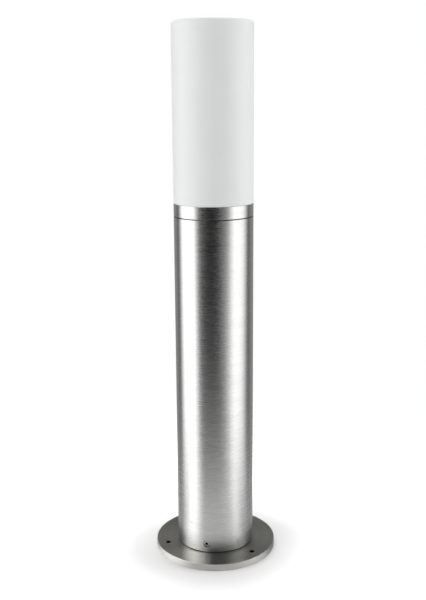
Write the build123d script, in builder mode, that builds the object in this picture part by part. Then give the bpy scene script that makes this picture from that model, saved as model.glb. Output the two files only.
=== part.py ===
"""Bollard light: a stainless steel post on a round base plate, with an opal screw-on diffuser over a lamp.

Units are millimetres. The origin is the centre of the base plate's underside and +Z is up. The front set
screw points along -Y and the rear fixing hole lies along +Y.
"""

import os
from math import pi, radians, tan

from build123d import *

os.makedirs("parts", exist_ok=True)

# Post and head
post_diameter = 76.0
post_wall = 2.0
post_length = 330.5
ring_height = 12.5
diffuser_height = 165.5
joint_gap = 0.6
joint_gap_depth = 1.2
edge_break = 0.25
level_tolerance = 0.01

# Base plate and the gasket under the post
plate_diameter = 120.0
plate_thickness = 7.0
plate_edge_chamfer = 0.3
mount_circle_diameter = 100.0
mount_hole_diameter = 5.0
base_gasket_thickness = 1.0
base_gasket_set_back = 0.4

# Collar on the plate that the post stands over
collar_flange_height = 6.0
collar_spigot_height = 24.0
collar_wall = 8.7
collar_lead_chamfer = 1.5
collar_screw_diameter = 5.0
collar_screw_head_diameter = 9.2
collar_screw_length = 16.0
collar_screw_key = 3.0
collar_screw_key_depth = 1.6

# Set screws through the post's wall, which bear on the collar's spigot
set_screw_diameter = 6.0
set_screw_length = 6.0
set_screw_rise = 9.5
set_screw_recess = 0.5
set_screw_bevel = 0.7
set_screw_key = 3.0
set_screw_key_depth = 3.0
set_screw_point = 1.0

# Fits, gaps and the threefold pattern
slide_clearance = 0.3
thread_clearance = 0.05
press_clearance = 0.03
travel_gap = 0.3
three_fold = 3
front_angle = -90.0
rear_angle = 90.0

# Cable gland in the middle of the plate
gland_thread_diameter = 20.0
gland_flat_width = 24.0
gland_washer_thickness = 1.0
gland_washer_width = 3.0
gland_flange_height = 5.0
gland_barrel_diameter = 18.5
gland_barrel_height = 12.0
gland_bore_diameter = 11.0
gland_pocket_diameter = 13.0
gland_crown_thickness = 1.5
gland_set_back = 0.5
seal_length = 10.0
seal_stand = 2.0
cable_diameter = 9.0

# Terminal block and the bent strip that carries it
block_level = 66.0
block_width = 30.0
block_depth = 15.0
block_height = 18.0
block_corner_radius = 1.5
block_poles = 3
pole_spacing = 9.0
barrel_diameter = 4.6
barrel_bore_diameter = 3.2
barrel_inset = 1.0
terminal_screw_diameter = 2.5
terminal_screw_length = 4.8
terminal_screw_inset = 4.5
terminal_screw_slot_width = 0.5
terminal_screw_slot_depth = 0.8
screw_access_diameter = 3.8
block_screw_diameter = 2.5
block_screw_head_diameter = 3.8
block_screw_head_height = 2.0
block_screw_slot_width = 0.6
block_screw_slot_depth = 0.8
strip_thickness = 1.5
strip_foot_set_back = 1.5
strip_headroom = 4.0
strip_screw_diameter = 4.0
strip_screw_head_diameter = 7.0
strip_screw_head_height = 2.2
strip_screw_length = 10.0
strip_screw_spacing = 16.0
strip_screw_recess_width = 1.0
strip_screw_recess_depth = 1.0

# Earth connection on the strip
earth_screw_diameter = 4.0
earth_screw_head_diameter = 7.0
earth_screw_head_height = 2.2
earth_screw_drop = 12.0
earth_screw_end = 3.0
earth_screw_slot_width = 1.0
earth_screw_slot_depth = 1.0
lug_ring_diameter = 8.0
lug_sheet = 0.8
lug_neck_length = 6.5
lug_barrel_diameter = 3.8
lug_barrel_length = 8.0

# Leads and their heat-proof sleeve
lead_diameter = 2.2
lead_pair_spacing = 2.4
lead_grip = 6.0
sleeve_bore_diameter = 5.4
sleeve_wall = 0.4
sleeve_start_level = 126.0
sleeve_end_drop = 4.0

# Head collar: the ring that shows, with a spigot in the post and a ledge for the lampholder's bracket
spigot_depth = 16.0
spigot_wall = 4.5
ledge_thickness = 5.5
ledge_width = 5.5
o_ring_drop = 8.0
o_ring_section = 2.2
o_ring_squash = 0.5

# Screw neck between the diffuser and the head collar
neck_pitch = 4.0
neck_thread_turns = 1.25
ring_thread_turns = 1.0
neck_thread_depth = 1.2
neck_thread_root_width = 2.0
neck_thread_crest_width = 0.8
neck_thread_lead_in = 1.5
ring_thread_wall = 3.1
neck_length = 11.0
neck_wall = 2.4
neck_floor_gap = 1.5
lip_wall = 1.0
diffuser_gasket_thickness = 1.5
diffuser_wall = 2.5
diffuser_top_thickness = 3.0
diffuser_top_radius = 3.0
shoulder_thickness = 3.0
thread_root_sink = 0.25

# Bracket, nipple and lampholder
bracket_thickness = 1.5
bracket_screw_diameter = 3.0
bracket_screw_head_diameter = 5.5
bracket_screw_head_height = 1.8
bracket_screw_length = 5.5
bracket_screw_recess_width = 0.7
bracket_screw_recess_depth = 0.8
nipple_diameter = 10.0
nipple_bore_diameter = 7.4
nipple_nut_flat_width = 14.0
nipple_nut_height = 3.0
nipple_end = 2.0
holder_diameter = 39.0
holder_floor = 2.0
holder_chamber_height = 10.0
holder_insert_height = 5.0
holder_register = 1.0
holder_sleeve_height = 30.0
holder_wall = 2.0
holder_edge_radius = 1.5
holder_terminal_size = (6.0, 6.0, 5.0)
holder_terminal_screw_diameter = 2.5
holder_terminal_screw_stand = 2.0
holder_terminal_offset = 9.0
holder_contact_width = 6.0
holder_contact_length = 14.0
holder_contact_sheet = 0.5
holder_contact_lift = 2.0
holder_contact_crank = 2.0
holder_contact_reach = 4.0
holder_contact_lean = 0.3
shell_wall = 0.6
shell_foot_width = 2.0

# Lamp with a 27 mm Edison screw cap
lamp_diameter = 55.0
lamp_length = 98.0
lamp_button_diameter = 9.5
lamp_button_height = 1.2
lamp_insulator_height = 3.5
cap_root_diameter = 24.1
cap_height = 22.0
cap_pitch = 3.629
cap_thread_turns = 2.5
shell_thread_turns = 1.0
shell_thread_lead_in = 1.5
cap_thread_depth = 1.05
cap_thread_root_width = 1.6
cap_thread_crest_width = 0.6
cap_thread_rise = 2.0
cap_wall = 0.6
lamp_wall = 1.2
lamp_neck_diameter = 27.0
lamp_waist_diameter = 39.6
lamp_rim_flare = 0.2
lamp_board_thickness = 1.6
lamp_board_ledge = 1.5
lamp_plug_depth = 3.0
lamp_chip_count = 9
lamp_chip_size = (2.8, 2.8, 0.7)
lamp_chip_circle_diameter = 34.0

# Radii and levels that follow
post_radius = post_diameter / 2
post_bore = post_radius - post_wall
post_bottom = plate_thickness + base_gasket_thickness
post_top = post_bottom + post_length
ring_top = post_top + ring_height
light_top = ring_top + diffuser_height
set_screw_level = plate_thickness + set_screw_rise
set_screw_head = post_radius - set_screw_recess
set_screw_tip = set_screw_head - set_screw_length
collar_flange_top = plate_thickness + collar_flange_height
collar_top = collar_flange_top + collar_spigot_height
collar_flange_radius = post_bore - slide_clearance
collar_spigot_radius = set_screw_tip
collar_bore = collar_spigot_radius - collar_wall
collar_screw_circle = (collar_spigot_radius + collar_bore) / 2
gland_flange_bottom = plate_thickness + gland_washer_thickness
gland_flange_top = gland_flange_bottom + gland_flange_height
gland_barrel_top = gland_flange_top + gland_barrel_height
seal_top = gland_barrel_top + seal_stand
seal_bottom = seal_top - seal_length
block_top = block_level + block_height
strip_front = block_depth / 2
strip_back = strip_front + strip_thickness
strip_foot_reach = collar_spigot_radius - strip_foot_set_back
earth_level = block_level - earth_screw_drop
spigot_bottom = post_top - spigot_depth
spigot_radius = post_bore - press_clearance
spigot_bore = post_bore - spigot_wall
ledge_bore = spigot_bore - ledge_width
ledge_top = spigot_bottom + ledge_thickness
ring_root = post_radius - ring_thread_wall
ring_crest = ring_root - neck_thread_depth
neck_crest = ring_root - travel_gap
neck_radius = neck_crest - neck_thread_depth
neck_bore = neck_radius - neck_wall
neck_bottom = ring_top - neck_length
seat_level = ring_top - diffuser_gasket_thickness
lip_bore = post_radius - lip_wall
neck_thread_start = neck_bottom + neck_thread_lead_in
bracket_top = ledge_top + bracket_thickness
bracket_radius = spigot_bore - slide_clearance
bracket_screw_circle = (spigot_bore + ledge_bore) / 2
holder_bottom = bracket_top + nipple_nut_height
holder_radius = holder_diameter / 2
chamber_bottom = holder_bottom + holder_floor
chamber_top = chamber_bottom + holder_chamber_height
insert_top = chamber_top + holder_insert_height
holder_top = chamber_top + holder_sleeve_height
lamp_bottom = insert_top + holder_contact_lift + travel_gap
cap_bottom = lamp_bottom + lamp_button_height + lamp_insulator_height
cap_top = cap_bottom + cap_height
cap_root = cap_root_diameter / 2
cap_crest = cap_root + cap_thread_depth
shell_root = cap_crest + travel_gap
shell_crest = shell_root - cap_thread_depth
cap_thread_start = cap_bottom + cap_thread_rise
lamp_top = lamp_bottom + lamp_length
lamp_radius = lamp_diameter / 2
lamp_join = lamp_top - lamp_radius - lamp_wall


def save(part, name):
    """Labels a finished piece and writes its STEP file."""
    part.label = name
    export_step(part, f"parts/{name}.step")


def turned(*points):
    """The solid that a closed outline of (radius, height) points makes when it is turned about Z."""
    with BuildPart() as solid:
        with BuildSketch(Plane.XZ):
            with BuildLine():
                Polyline(*points, close=True)
            make_face()
        revolve(axis=Axis.Z)
    return solid.part


def tube(outer_radius, bore_radius, bottom, top):
    """A plain ring or tube between two levels."""
    return turned((bore_radius, bottom), (outer_radius, bottom), (outer_radius, top), (bore_radius, top))


def radial_plane(angle, radius, level):
    """The plane that faces outwards from Z at an angle, a radius and a level."""
    outward = Vector(1, 0, 0).rotate(Axis.Z, angle)
    return Plane(origin=outward * radius + Vector(0, 0, level), x_dir=(0, 0, 1), z_dir=outward)


def thread_ridge(pitch, turns, root_radius, tip_radius, root_width, crest_width, start_level):
    """A screw thread's ridge, with its root sunk a little into the wall that carries it."""
    reach = tip_radius - root_radius
    sink = -thread_root_sink if reach > 0 else thread_root_sink
    with BuildPart() as ridge:
        with BuildLine() as path:
            Helix(pitch, pitch * turns, root_radius)
        with BuildSketch(Plane(origin=path.line @ 0, x_dir=(1, 0, 0), z_dir=path.line % 0)):
            with BuildLine():
                Polyline(
                    (sink, -root_width / 2),
                    (0, -root_width / 2),
                    (reach, -crest_width / 2),
                    (reach, crest_width / 2),
                    (0, root_width / 2),
                    (sink, root_width / 2),
                    close=True,
                )
            make_face()
        sweep(is_frenet=True)
    return ridge.part.moved(Location((0, 0, start_level)))


def lead(route):
    """A round lead along straight runs joined by arcs as large as the runs beside them allow."""
    points = [Vector(*point) for point in route]
    radii = []
    for before, here, after in zip(points, points[1:], points[2:]):
        turn = radians((here - before).get_angle(after - here))
        run = min((here - before).length, (after - here).length)
        radii.append(0.45 * run / tan(turn / 2))
    with BuildPart() as wire:
        with BuildLine() as path:
            FilletPolyline(*points, radius=radii)
        with BuildSketch(Plane(origin=path.line @ 0, z_dir=path.line % 0)):
            Circle(lead_diameter / 2)
        sweep()
    expected = path.wires()[0].length * pi * lead_diameter**2 / 4
    print("lead radii", [round(radius, 1) for radius in radii], "volume ratio", wire.part.volume / expected)
    return wire.part


# Base plate: a turned disc with three fixing holes, a tapped middle hole for the gland and three
# countersunk holes underneath for the collar's screws.
with BuildPart() as base_plate:
    with BuildSketch():
        Circle(plate_diameter / 2)
    extrude(amount=plate_thickness)
    chamfer(base_plate.edges().group_by(Axis.Z)[-1], plate_edge_chamfer)
    chamfer(base_plate.edges().group_by(Axis.Z)[0], edge_break)
    with Locations((0, 0, plate_thickness)):
        Hole(gland_thread_diameter / 2 + thread_clearance)
        with PolarLocations(mount_circle_diameter / 2, three_fold, start_angle=rear_angle):
            Hole(mount_hole_diameter / 2)
    with Locations(Plane.XY.rotated((180, 0, 0))):
        with PolarLocations(collar_screw_circle, three_fold, start_angle=rear_angle):
            CounterSinkHole(
                collar_screw_diameter / 2 + slide_clearance,
                collar_screw_head_diameter / 2 + slide_clearance,
            )
save(base_plate.part, "base_plate")

# Base collar: a turned ring. Its flange centres the post and its spigot takes the set screws' points.
with BuildPart() as base_collar:
    add(
        turned(
            (collar_bore, plate_thickness),
            (collar_flange_radius, plate_thickness),
            (collar_flange_radius, collar_flange_top),
            (collar_spigot_radius, collar_flange_top),
            (collar_spigot_radius, collar_top - collar_lead_chamfer),
            (collar_spigot_radius - collar_lead_chamfer, collar_top),
            (collar_bore, collar_top),
        )
    )
    with Locations(Plane.XY.offset(plate_thickness).rotated((180, 0, 0))):
        with PolarLocations(collar_screw_circle, three_fold, start_angle=rear_angle):
            Hole(collar_screw_diameter / 2 + thread_clearance, depth=collar_screw_length)
    with Locations((0, collar_screw_circle, collar_top)):
        with GridLocations(strip_screw_spacing, 1, 2, 1):
            Hole(strip_screw_diameter / 2 + thread_clearance, depth=strip_screw_length)
save(base_collar.part, "base_collar")

# Collar screws: countersunk socket screws, up through the plate into the collar.
with BuildPart() as collar_screws:
    head_rise = (collar_screw_head_diameter - collar_screw_diameter) / 2
    with BuildPart(mode=Mode.PRIVATE) as collar_screw:
        add(
            turned(
                (0, edge_break),
                (collar_screw_head_diameter / 2 - edge_break, edge_break),
                (collar_screw_diameter / 2, edge_break + head_rise),
                (collar_screw_diameter / 2, collar_screw_length),
                (0, collar_screw_length),
            )
        )
        with BuildSketch(Plane.XY.offset(edge_break)):
            RegularPolygon(collar_screw_key / 2, 6, major_radius=False)
        extrude(amount=collar_screw_key_depth, mode=Mode.SUBTRACT)
    with PolarLocations(collar_screw_circle, three_fold, start_angle=-rear_angle):
        add(collar_screw.part)
save(collar_screws.part, "collar_screws")

# Base gasket: a black rubber ring under the post's end, set back a little from its outside.
base_gasket = tube(post_radius - base_gasket_set_back, post_bore, plate_thickness, post_bottom)
save(base_gasket, "base_gasket")

# Post: a brushed tube with three tapped holes for the set screws, whose mouths are broken.
with BuildPart() as post_tube:
    add(tube(post_radius, post_bore, post_bottom, post_top))
    chamfer(post_tube.edges().group_by(Axis.Z)[-1].sort_by(SortBy.RADIUS)[-1], edge_break)
    chamfer(post_tube.edges().group_by(Axis.Z)[0].sort_by(SortBy.RADIUS)[-1], edge_break)
    for index in range(three_fold):
        mouth = radial_plane(front_angle + index * 360 / three_fold, post_radius, set_screw_level)
        with BuildSketch(mouth.offset(-edge_break)):
            Circle(set_screw_diameter / 2 + thread_clearance)
        extrude(amount=2 * edge_break, taper=-45, mode=Mode.SUBTRACT)
        with BuildSketch(mouth.offset(edge_break)):
            Circle(set_screw_diameter / 2 + thread_clearance)
        extrude(amount=-2 * post_wall, mode=Mode.SUBTRACT)
save(post_tube.part, "post_tube")

# Set screws: socket set screws with a bevelled end and a chamfered point, just below the post's surface.
with BuildPart() as set_screws:
    for index in range(three_fold):
        mouth = radial_plane(front_angle + index * 360 / three_fold, set_screw_head, set_screw_level)
        with BuildSketch(mouth.offset(-set_screw_bevel)):
            Circle(set_screw_diameter / 2)
        extrude(amount=set_screw_bevel, taper=45)
        with BuildSketch(mouth.offset(-set_screw_bevel)):
            Circle(set_screw_diameter / 2)
        extrude(amount=set_screw_bevel + set_screw_point - set_screw_length)
        with BuildSketch(mouth.offset(set_screw_point - set_screw_length)):
            Circle(set_screw_diameter / 2)
        extrude(amount=-set_screw_point, taper=45)
        with BuildSketch(mouth):
            RegularPolygon(set_screw_key / 2, 6, major_radius=False)
        extrude(amount=-set_screw_key_depth, mode=Mode.SUBTRACT)
save(set_screws.part, "set_screws")

# Gland washer: a flat fibre ring between the gland's flange and the plate.
gland_washer = tube(
    gland_thread_diameter / 2 + gland_washer_width,
    gland_thread_diameter / 2 + slide_clearance,
    plate_thickness,
    gland_flange_bottom,
)
save(gland_washer, "gland_washer")

# Gland body: a threaded stub in the plate, a hexagon flange and a barrel with a pocket for the seal.
with BuildPart() as gland_body:
    add(tube(gland_thread_diameter / 2, gland_bore_diameter / 2, gland_set_back, gland_flange_bottom))
    with BuildSketch(Plane.XY.offset(gland_flange_bottom)):
        RegularPolygon(gland_flat_width / 2, 6, major_radius=False)
        Circle(gland_bore_diameter / 2, mode=Mode.SUBTRACT)
    extrude(amount=gland_flange_height)
    add(tube(gland_barrel_diameter / 2, gland_bore_diameter / 2, gland_flange_top, gland_barrel_top))
    with Locations((0, 0, gland_barrel_top)):
        Hole(gland_pocket_diameter / 2, depth=gland_barrel_top - seal_bottom)
save(gland_body.part, "gland_body")

# Gland seal: a rubber bush that grips the supply cable.
gland_seal = tube(gland_pocket_diameter / 2, cable_diameter / 2, seal_bottom, seal_top)
save(gland_seal, "gland_seal")

# Gland nut: a hexagon cap on the barrel, whose crown presses the seal down.
with BuildPart() as gland_nut:
    with BuildSketch(Plane.XY.offset(gland_flange_top + gland_set_back)):
        RegularPolygon(gland_flat_width / 2, 6, major_radius=False)
    extrude(amount=seal_top + gland_crown_thickness - gland_flange_top - gland_set_back)
    with Locations((0, 0, seal_top)):
        Hole(gland_barrel_diameter / 2 + thread_clearance, depth=seal_top - gland_flange_top)
    with Locations((0, 0, seal_top + gland_crown_thickness)):
        Hole(gland_bore_diameter / 2, depth=2 * gland_crown_thickness)
    chamfer(gland_nut.edges().group_by(Axis.Z)[-1].filter_by(GeomType.LINE), 2 * edge_break)
save(gland_nut.part, "gland_nut")

# Terminal bracket: a bent steel strip, screwed on the collar, that stands up behind the terminal block.
with BuildPart() as terminal_bracket:
    with BuildSketch(Plane.YZ.offset(-block_width / 2)):
        with BuildLine():
            Polyline(
                (strip_front, collar_top),
                (strip_foot_reach, collar_top),
                (strip_foot_reach, collar_top + strip_thickness),
                (strip_back, collar_top + strip_thickness),
                (strip_back, block_top + strip_headroom),
                (strip_front, block_top + strip_headroom),
                close=True,
            )
        make_face()
    extrude(amount=block_width)
    fillet(terminal_bracket.edges().filter_by(Axis.X).group_by(Axis.Z)[0].sort_by(Axis.Y)[0], strip_thickness)
    with Locations((0, collar_screw_circle, collar_top + strip_thickness)):
        with GridLocations(strip_screw_spacing, 1, 2, 1):
            Hole(strip_screw_diameter / 2 + slide_clearance, depth=2 * strip_thickness)
    with BuildSketch(Plane.XZ.offset(-strip_back)):
        with Locations((0, earth_level)):
            Circle(earth_screw_diameter / 2 + thread_clearance)
        with Locations((0, block_level + block_height / 2)):
            with GridLocations(pole_spacing, 1, 2, 1):
                Circle(block_screw_diameter / 2 + thread_clearance)
    extrude(amount=strip_thickness, mode=Mode.SUBTRACT)
save(terminal_bracket.part, "terminal_bracket")

# Terminal bracket screws: two pan-head screws into the collar's top.
with BuildPart() as terminal_bracket_screws:
    with Locations((0, collar_screw_circle, collar_top + strip_thickness)):
        with GridLocations(strip_screw_spacing, 1, 2, 1):
            Cylinder(
                strip_screw_head_diameter / 2,
                strip_screw_head_height,
                align=(Align.CENTER, Align.CENTER, Align.MIN),
            )
            Cylinder(
                strip_screw_diameter / 2,
                strip_screw_length,
                align=(Align.CENTER, Align.CENTER, Align.MAX),
            )
    with Locations((0, collar_screw_circle, collar_top + strip_thickness + strip_screw_head_height)):
        with GridLocations(strip_screw_spacing, 1, 2, 1):
            Box(
                strip_screw_diameter,
                strip_screw_recess_width,
                2 * strip_screw_recess_depth,
                mode=Mode.SUBTRACT,
            )
            Box(
                strip_screw_recess_width,
                strip_screw_diameter,
                2 * strip_screw_recess_depth,
                mode=Mode.SUBTRACT,
            )
save(terminal_bracket_screws.part, "terminal_bracket_screws")

# Terminal block: a moulded body with three upright barrel holes, screw holes in front and two fixing holes.
block_middle = block_level + block_height / 2
terminal_screw_tip = lead_diameter / 2 + thread_clearance
block_screw_seat = barrel_diameter / 2
with BuildPart() as terminal_block:
    with BuildSketch(Plane.XY.offset(block_level)):
        RectangleRounded(block_width, block_depth, block_corner_radius)
        with GridLocations(pole_spacing, 1, block_poles, 1):
            Circle(barrel_diameter / 2 + thread_clearance, mode=Mode.SUBTRACT)
    extrude(amount=block_height)
    with BuildSketch(Plane.XZ.offset(strip_front)):
        with Locations((0, block_middle)):
            with GridLocations(pole_spacing, block_height - 2 * terminal_screw_inset, block_poles, 2):
                Circle(screw_access_diameter / 2)
    extrude(amount=terminal_screw_tip - strip_front, mode=Mode.SUBTRACT)
    with BuildSketch(Plane.XZ.offset(strip_front)):
        with Locations((0, block_middle)):
            with GridLocations(pole_spacing, 1, 2, 1):
                Circle(block_screw_head_diameter / 2 + thread_clearance)
    extrude(amount=block_screw_seat - strip_front, mode=Mode.SUBTRACT)
    with BuildSketch(Plane.XZ.offset(strip_front)):
        with Locations((0, block_middle)):
            with GridLocations(pole_spacing, 1, 2, 1):
                Circle(block_screw_diameter / 2 + thread_clearance)
    extrude(amount=-block_depth, mode=Mode.SUBTRACT)
save(terminal_block.part, "terminal_block")

# Terminal barrels: three brass tubes, each tapped for its two screws.
with BuildPart() as terminal_barrels:
    with BuildSketch(Plane.XY.offset(block_level + barrel_inset)):
        with GridLocations(pole_spacing, 1, block_poles, 1):
            Circle(barrel_diameter / 2)
            Circle(barrel_bore_diameter / 2, mode=Mode.SUBTRACT)
    extrude(amount=block_height - 2 * barrel_inset)
    with BuildSketch(Plane.XZ):
        with Locations((0, block_middle)):
            with GridLocations(pole_spacing, block_height - 2 * terminal_screw_inset, block_poles, 2):
                Circle(terminal_screw_diameter / 2 + thread_clearance)
    extrude(amount=block_depth / 2, mode=Mode.SUBTRACT)
save(terminal_barrels.part, "terminal_barrels")

# Terminal screws: six slotted grub screws, two to a barrel, down on the leads.
with BuildPart() as terminal_screws:
    with BuildSketch(Plane.XZ.offset(terminal_screw_tip)):
        with Locations((0, block_middle)):
            with GridLocations(pole_spacing, block_height - 2 * terminal_screw_inset, block_poles, 2):
                Circle(terminal_screw_diameter / 2)
    extrude(amount=terminal_screw_length)
    with BuildSketch(Plane.XZ.offset(terminal_screw_tip + terminal_screw_length)):
        with Locations((0, block_middle)):
            with GridLocations(pole_spacing, block_height - 2 * terminal_screw_inset, block_poles, 2):
                Rectangle(terminal_screw_diameter, terminal_screw_slot_width)
    extrude(amount=-terminal_screw_slot_depth, mode=Mode.SUBTRACT)
save(terminal_screws.part, "terminal_screws")

# Block screws: two cheese-head screws through the block into the strip.
with BuildPart() as block_screws:
    with BuildSketch(Plane.XZ.offset(block_screw_seat)):
        with Locations((0, block_middle)):
            with GridLocations(pole_spacing, 1, 2, 1):
                Circle(block_screw_head_diameter / 2)
    extrude(amount=block_screw_head_height)
    with BuildSketch(Plane.XZ.offset(block_screw_seat)):
        with Locations((0, block_middle)):
            with GridLocations(pole_spacing, 1, 2, 1):
                Circle(block_screw_diameter / 2)
    extrude(amount=-block_screw_seat - strip_back)
    with BuildSketch(Plane.XZ.offset(block_screw_seat + block_screw_head_height)):
        with Locations((0, block_middle)):
            with GridLocations(pole_spacing, 1, 2, 1):
                Rectangle(block_screw_head_diameter, block_screw_slot_width)
    extrude(amount=-block_screw_slot_depth, mode=Mode.SUBTRACT)
save(block_screws.part, "block_screws")

# Earth lug: a ring tongue on the strip's front with a crimped barrel out to one side.
lug_axis = strip_front - lug_barrel_diameter / 2
lug_end = lug_neck_length + lug_barrel_length
with BuildPart() as earth_lug:
    with BuildSketch(Plane.XZ.offset(-strip_front)):
        with Locations((0, earth_level)):
            Circle(lug_ring_diameter / 2)
        with Locations((lug_neck_length / 2, earth_level)):
            Rectangle(lug_neck_length + 2 * lug_sheet, lug_barrel_diameter)
        with Locations((0, earth_level)):
            Circle(earth_screw_diameter / 2 + slide_clearance, mode=Mode.SUBTRACT)
    extrude(amount=lug_sheet)
    with BuildSketch(Plane(origin=(lug_neck_length, lug_axis, earth_level), z_dir=(1, 0, 0))):
        Circle(lug_barrel_diameter / 2)
    extrude(amount=lug_barrel_length)
    with BuildSketch(Plane(origin=(lug_end, lug_axis, earth_level), z_dir=(1, 0, 0))):
        Circle(lead_diameter / 2)
    extrude(amount=-lead_grip, mode=Mode.SUBTRACT)
save(earth_lug.part, "earth_lug")

# Earth screw: a pan-head screw through the lug into the strip.
with BuildPart() as earth_screw:
    with BuildSketch(Plane.XZ.offset(lug_sheet - strip_front)):
        with Locations((0, earth_level)):
            Circle(earth_screw_head_diameter / 2)
    extrude(amount=earth_screw_head_height)
    with BuildSketch(Plane.XZ.offset(lug_sheet - strip_front)):
        with Locations((0, earth_level)):
            Circle(earth_screw_diameter / 2)
    extrude(amount=-lug_sheet - strip_thickness - earth_screw_end)
    with BuildSketch(Plane.XZ.offset(lug_sheet - strip_front + earth_screw_head_height)):
        with Locations((0, earth_level)):
            Rectangle(earth_screw_head_diameter, earth_screw_slot_width)
    extrude(amount=-earth_screw_slot_depth, mode=Mode.SUBTRACT)
save(earth_screw.part, "earth_screw")

# Live and neutral leads: from the block's barrels, up through the sleeve and nipple, to the lampholder.
lead_end = block_top - barrel_inset - lead_grip
lead_turn_level = chamber_top - holder_terminal_size[2] / 2
terminal_face = holder_terminal_offset - holder_terminal_size[0] / 2
live_lead = lead(
    [
        (-pole_spacing, 0, lead_end),
        (-pole_spacing, 0, 94),
        (-lead_pair_spacing / 2, 0, 114),
        (-lead_pair_spacing / 2, 0, lead_turn_level),
        (-terminal_face, 0, lead_turn_level),
    ]
)
save(live_lead, "live_lead")

neutral_lead = lead(
    [
        (0, 0, lead_end),
        (0, 0, 98),
        (lead_pair_spacing / 2, 0, 112),
        (lead_pair_spacing / 2, 0, lead_turn_level),
        (terminal_face, 0, lead_turn_level),
    ]
)
save(neutral_lead, "neutral_lead")

# Earth lead: from the block's third barrel, over and down beside the block, to the lug.
earth_lead = lead(
    [
        (pole_spacing, 0, lead_end),
        (pole_spacing, 0, 97),
        (23, 1, 97),
        (23, lug_axis, earth_level),
        (lug_end - lead_grip, lug_axis, earth_level),
    ]
)
save(earth_lead, "earth_lead")

# Lead sleeve: a glass-fibre sleeve that keeps the pair of leads off the hot nipple.
sleeve_end_level = lead_turn_level - sleeve_end_drop
lead_sleeve = tube(
    sleeve_bore_diameter / 2 + sleeve_wall,
    sleeve_bore_diameter / 2,
    sleeve_start_level,
    sleeve_end_level,
)
save(lead_sleeve, "lead_sleeve")

# Head collar: the ring that shows between post and diffuser. Below it a spigot is pressed into the post,
# with an O-ring groove outside and a ledge inside, and a narrow shadow gap is left at the joint. Above, the
# ring is threaded for the diffuser's neck.
o_ring_middle = post_top - o_ring_drop
o_ring_groove_floor = post_bore - o_ring_section + o_ring_squash
with BuildPart() as head_collar:
    add(
        turned(
            (ledge_bore, spigot_bottom),
            (spigot_radius, spigot_bottom),
            (spigot_radius, o_ring_middle - o_ring_section / 2),
            (o_ring_groove_floor, o_ring_middle - o_ring_section / 2),
            (o_ring_groove_floor, o_ring_middle + o_ring_section / 2),
            (spigot_radius, o_ring_middle + o_ring_section / 2),
            (spigot_radius, post_top),
            (post_radius - joint_gap_depth, post_top),
            (post_radius - joint_gap_depth, post_top + joint_gap),
            (post_radius, post_top + joint_gap),
            (post_radius, ring_top),
            (lip_bore, ring_top),
            (lip_bore, seat_level),
            (ring_root, seat_level),
            (ring_root, neck_bottom - neck_floor_gap),
            (spigot_bore, neck_bottom - neck_floor_gap),
            (spigot_bore, ledge_top),
            (ledge_bore, ledge_top),
        )
    )
    outer_rims = head_collar.edges().filter_by(GeomType.CIRCLE).sort_by(SortBy.RADIUS)[-2:]
    chamfer(outer_rims, edge_break)
    add(
        thread_ridge(
            neck_pitch,
            ring_thread_turns,
            ring_root,
            ring_crest,
            neck_thread_root_width,
            neck_thread_crest_width,
            neck_thread_start + neck_pitch / 2,
        )
    )
    with Locations((0, 0, ledge_top)):
        with PolarLocations(bracket_screw_circle, three_fold, start_angle=rear_angle):
            Hole(bracket_screw_diameter / 2 + thread_clearance, depth=ledge_thickness)
save(head_collar.part, "head_collar")

# Head O-ring: squashed between the spigot's groove and the post's bore.
with BuildPart() as head_o_ring:
    with BuildSketch(Plane.XZ):
        with Locations(((o_ring_groove_floor + post_bore) / 2, o_ring_middle)):
            Ellipse((post_bore - o_ring_groove_floor) / 2, o_ring_section / 2)
    revolve(axis=Axis.Z)
save(head_o_ring.part, "head_o_ring")

# Holder bracket: a steel disc on the collar's ledge, with a middle hole for the nipple.
with BuildPart() as holder_bracket:
    with BuildSketch(Plane.XY.offset(ledge_top)):
        Circle(bracket_radius)
        Circle(nipple_diameter / 2 + slide_clearance, mode=Mode.SUBTRACT)
        with PolarLocations(bracket_screw_circle, three_fold, start_angle=rear_angle):
            Circle(bracket_screw_diameter / 2 + slide_clearance, mode=Mode.SUBTRACT)
    extrude(amount=bracket_thickness)
save(holder_bracket.part, "holder_bracket")

# Holder bracket screws: three pan-head screws into the ledge.
with BuildPart() as holder_bracket_screws:
    with Locations((0, 0, bracket_top)):
        with PolarLocations(bracket_screw_circle, three_fold, start_angle=rear_angle):
            Cylinder(
                bracket_screw_head_diameter / 2,
                bracket_screw_head_height,
                align=(Align.CENTER, Align.CENTER, Align.MIN),
            )
            Cylinder(
                bracket_screw_diameter / 2,
                bracket_screw_length,
                align=(Align.CENTER, Align.CENTER, Align.MAX),
            )
    with Locations((0, 0, bracket_top + bracket_screw_head_height)):
        with PolarLocations(bracket_screw_circle, three_fold, start_angle=rear_angle):
            Box(
                bracket_screw_diameter,
                bracket_screw_recess_width,
                2 * bracket_screw_recess_depth,
                mode=Mode.SUBTRACT,
            )
            Box(
                bracket_screw_recess_width,
                bracket_screw_diameter,
                2 * bracket_screw_recess_depth,
                mode=Mode.SUBTRACT,
            )
save(holder_bracket_screws.part, "holder_bracket_screws")

# Nipple and its two nuts: a hollow threaded stem that clamps the lampholder to the bracket.
nipple_bottom = ledge_top - nipple_nut_height - nipple_end
nipple = tube(nipple_diameter / 2, nipple_bore_diameter / 2, nipple_bottom, chamber_bottom + nipple_end)
save(nipple, "nipple")

with BuildPart() as nipple_nuts:
    for bottom in (ledge_top - nipple_nut_height, bracket_top):
        with BuildSketch(Plane.XY.offset(bottom)):
            RegularPolygon(nipple_nut_flat_width / 2, 6, major_radius=False)
            Circle(nipple_diameter / 2 + thread_clearance, mode=Mode.SUBTRACT)
        extrude(amount=nipple_nut_height)
save(nipple_nuts.part, "nipple_nuts")

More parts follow.
